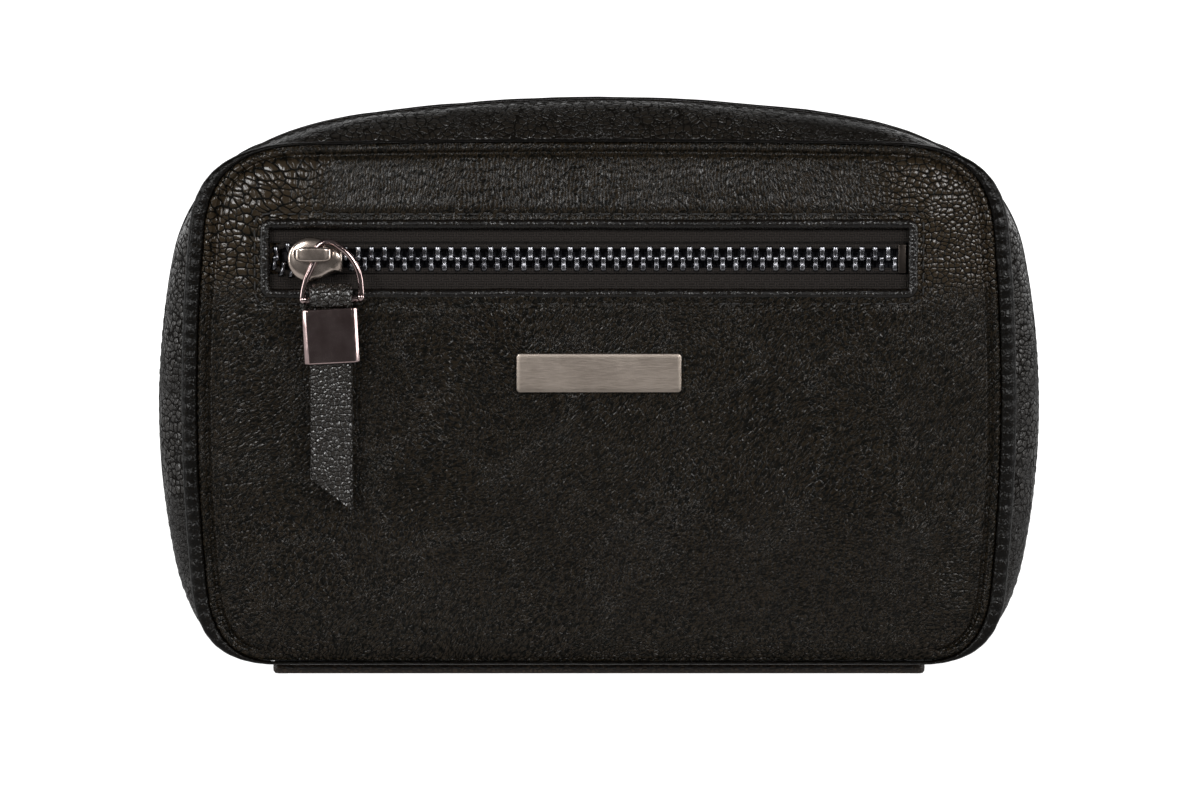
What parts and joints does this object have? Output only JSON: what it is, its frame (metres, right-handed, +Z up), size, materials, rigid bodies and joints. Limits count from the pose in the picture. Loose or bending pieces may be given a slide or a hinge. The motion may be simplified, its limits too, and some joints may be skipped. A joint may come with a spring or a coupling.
{
  "type": "glucose meter case",
  "caption": "Leather zip-around carrying case for a glucose meter, with an outside zip pocket, standing on its spine.",
  "frame": {"origin": "middle of the face under the spine strip that the case stands on", "axes": "+X to the right seen from the front, +Y from the front to the rear, +Z up"},
  "size_m": [0.1714, 0.0551, 0.1112],
  "materials": {
    "leather": "pebbled, semi-gloss",
    "welt": "smooth, semi-gloss",
    "lining": "woven",
    "foam": "matt foam",
    "board": "matt",
    "zip_tape": "woven tape",
    "zip_metal": "gunmetal",
    "slider_metal": "polished gunmetal",
    "plate": "satin nickel",
    "mesh": "knitted mesh",
    "elastic": "woven elastic",
    "hook_pad": "hook and loop"
  },
  "bodies": {
    "spine": {"spine_strip": "leather", "spine_lining": "lining"},
    "front_half": {"front_panel": "leather", "front_welt": "welt", "front_gusset": "leather", "front_gusset_lining": "lining", "front_edge_binding": "welt", "front_foam": "foam", "front_board": "board", "front_lining": "lining", "main_zip_tape_front": "zip_tape", "main_zip_chain_front": "zip_metal", "pocket_lip_upper": "leather", "pocket_lip_lower": "leather", "pocket_lip_left": "leather", "pocket_lip_right": "leather", "pocket_zip_tape_upper": "zip_tape", "pocket_zip_tape_lower": "zip_tape", "pocket_teeth_upper": "zip_metal", "pocket_teeth_lower": "zip_metal", "pocket_zip_stop": "zip_metal", "pocket_bag": "lining", "name_plate": "plate", "mesh_pocket": "mesh", "mesh_pocket_binding": "elastic"},
    "rear_half": {"rear_panel": "leather", "rear_welt": "welt", "rear_gusset": "leather", "rear_gusset_lining": "lining", "rear_edge_binding": "welt", "rear_foam": "foam", "rear_board": "board", "rear_lining": "lining", "main_zip_tape_rear": "zip_tape", "main_zip_chain_rear": "zip_metal", "meter_pad": "hook_pad", "meter_band": "elastic", "lancing_loop": "elastic", "vial_loop": "elastic"},
    "pocket_slider": {"pocket_slider_body": "slider_metal", "pocket_slider_bridge": "slider_metal"},
    "pull_ring": {"pull_ring": "slider_metal"},
    "pull_tag": {"pull_strap": "leather", "pull_ferrule": "slider_metal"},
    "main_slider": {"main_slider_body": "slider_metal", "main_slider_bridge": "slider_metal"},
    "main_pull": {"main_pull_tab": "slider_metal"}
  },
  "joints": [
    {"name": "cover_fold", "type": "hinge", "parent": "spine", "child": "front_half", "pos_m": [0, -0.0155, 0.0011], "axis": [1, 0, 0], "range_deg": [0, 90]},
    {"name": "back_fold", "type": "hinge", "parent": "spine", "child": "rear_half", "pos_m": [0, 0.0155, 0.0011], "axis": [-1, 0, 0], "range_deg": [0, 90]},
    {"name": "pocket_slide", "type": "slide", "parent": "front_half", "child": "pocket_slider", "axis": [1, 0, 0], "range_m": [0, 0.1055]},
    {"name": "pull_swing", "type": "hinge", "parent": "pocket_slider", "child": "pull_ring", "pos_m": [-0.0544, -0.0279, 0.08245], "axis": [0, 1, 0], "range_deg": [-20, 12]},
    {"name": "pull_lift", "type": "hinge", "parent": "pull_ring", "child": "pull_tag", "pos_m": [-0.05111, -0.0279, 0.07382], "axis": [-1, 0, 0], "range_deg": [0, 100]},
    {"name": "main_slide", "type": "hinge", "parent": "rear_half", "child": "main_slider", "pos_m": [-0.06236, 0, 0.0513], "axis": [0, -1, 0], "range_deg": [0, 14.5]},
    {"name": "main_pull_lift", "type": "hinge", "parent": "main_slider", "child": "main_pull", "pos_m": [0.08371, 0, 0.03612], "axis": [0, -1, 0], "range_deg": [0, 110]}
  ]
}
